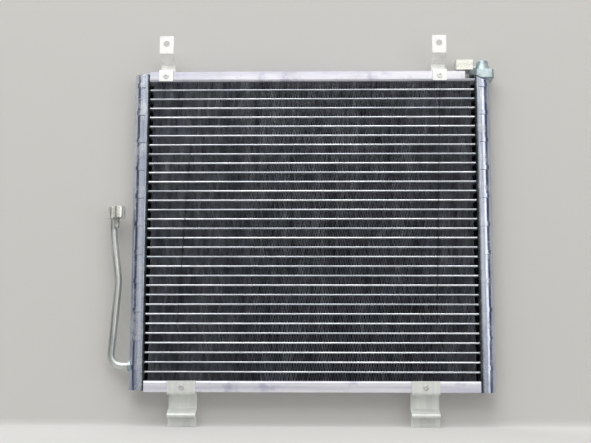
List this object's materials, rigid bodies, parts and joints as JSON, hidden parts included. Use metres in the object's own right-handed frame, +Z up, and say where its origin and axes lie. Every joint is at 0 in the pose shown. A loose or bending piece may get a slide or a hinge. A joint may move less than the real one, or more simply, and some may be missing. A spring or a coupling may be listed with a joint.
{
  "type": "air conditioning condenser",
  "caption": "Upright vehicle condenser: flat tubes and corrugated fins brazed between two headers, with folded brackets, feet, an inlet block and an outlet pipe.",
  "frame": {"origin": "midway between the two holes of the upper brackets, in the middle of their sheet", "axes": "+Z up along the headers, +X along the flat tubes towards the inlet, and the front face looks along -Y"},
  "size_m": [0.4118, 0.0265, 0.4152],
  "materials": {
    "tube_metal": "bare extruded aluminium, bright along the rounded noses",
    "fin_metal": "thin louvred aluminium foil that looks dark grey between its folds",
    "header_metal": "brazed aluminium sheet with long drawing lines and dull flux stains",
    "channel_metal": "folded aluminium sheet, satin, with handling marks",
    "bracket_metal": "pale bright coated strip",
    "foot_metal": "pale grey coated strip",
    "rivet_metal": "bright rivet heads with dark eyes",
    "cast_metal": "machined casting with a dull brazed skin",
    "block_metal": "milled block with fine cutter lines",
    "pipe_metal": "satin drawn pipe",
    "stud_metal": "plated stud with a fine thread"
  },
  "bodies": {
    "root": {"bottom_channel": "channel_metal", "bracket_rivets": "rivet_metal", "fins_first_pass": "fin_metal", "fins_second_pass": "fin_metal", "fins_third_pass": "fin_metal", "foot_rivets": "rivet_metal", "inlet_block": "block_metal", "inlet_collar": "cast_metal", "inlet_stub": "cast_metal", "left_baffle": "header_metal", "left_bottom_cap": "header_metal", "left_bracket": "bracket_metal", "left_foot": "foot_metal", "left_header_plate": "header_metal", "left_tank": "header_metal", "left_top_cap": "header_metal", "outlet_block": "block_metal", "outlet_ferrule": "cast_metal", "outlet_pipe": "pipe_metal", "outlet_stud": "stud_metal", "right_baffle": "header_metal", "right_bottom_cap": "header_metal", "right_bracket": "bracket_metal", "right_foot": "foot_metal", "right_header_plate": "header_metal", "right_tank": "header_metal", "top_channel": "channel_metal", "tube_01": "tube_metal", "tube_02": "tube_metal", "tube_03": "tube_metal", "tube_04": "tube_metal", "tube_05": "tube_metal", "tube_06": "tube_metal", "tube_07": "tube_metal", "tube_08": "tube_metal", "tube_09": "tube_metal", "tube_10": "tube_metal", "tube_11": "tube_metal", "tube_12": "tube_metal", "tube_13": "tube_metal", "tube_14": "tube_metal", "tube_15": "tube_metal", "tube_16": "tube_metal", "tube_17": "tube_metal", "tube_18": "tube_metal", "tube_19": "tube_metal", "tube_20": "tube_metal", "tube_21": "tube_metal", "tube_22": "tube_metal", "tube_23": "tube_metal", "tube_24": "tube_metal", "tube_25": "tube_metal", "tube_26": "tube_metal", "tube_27": "tube_metal", "tube_28": "tube_metal", "tube_29": "tube_metal", "tube_30": "tube_metal", "tube_31": "tube_metal"}
  },
  "joints": []
}
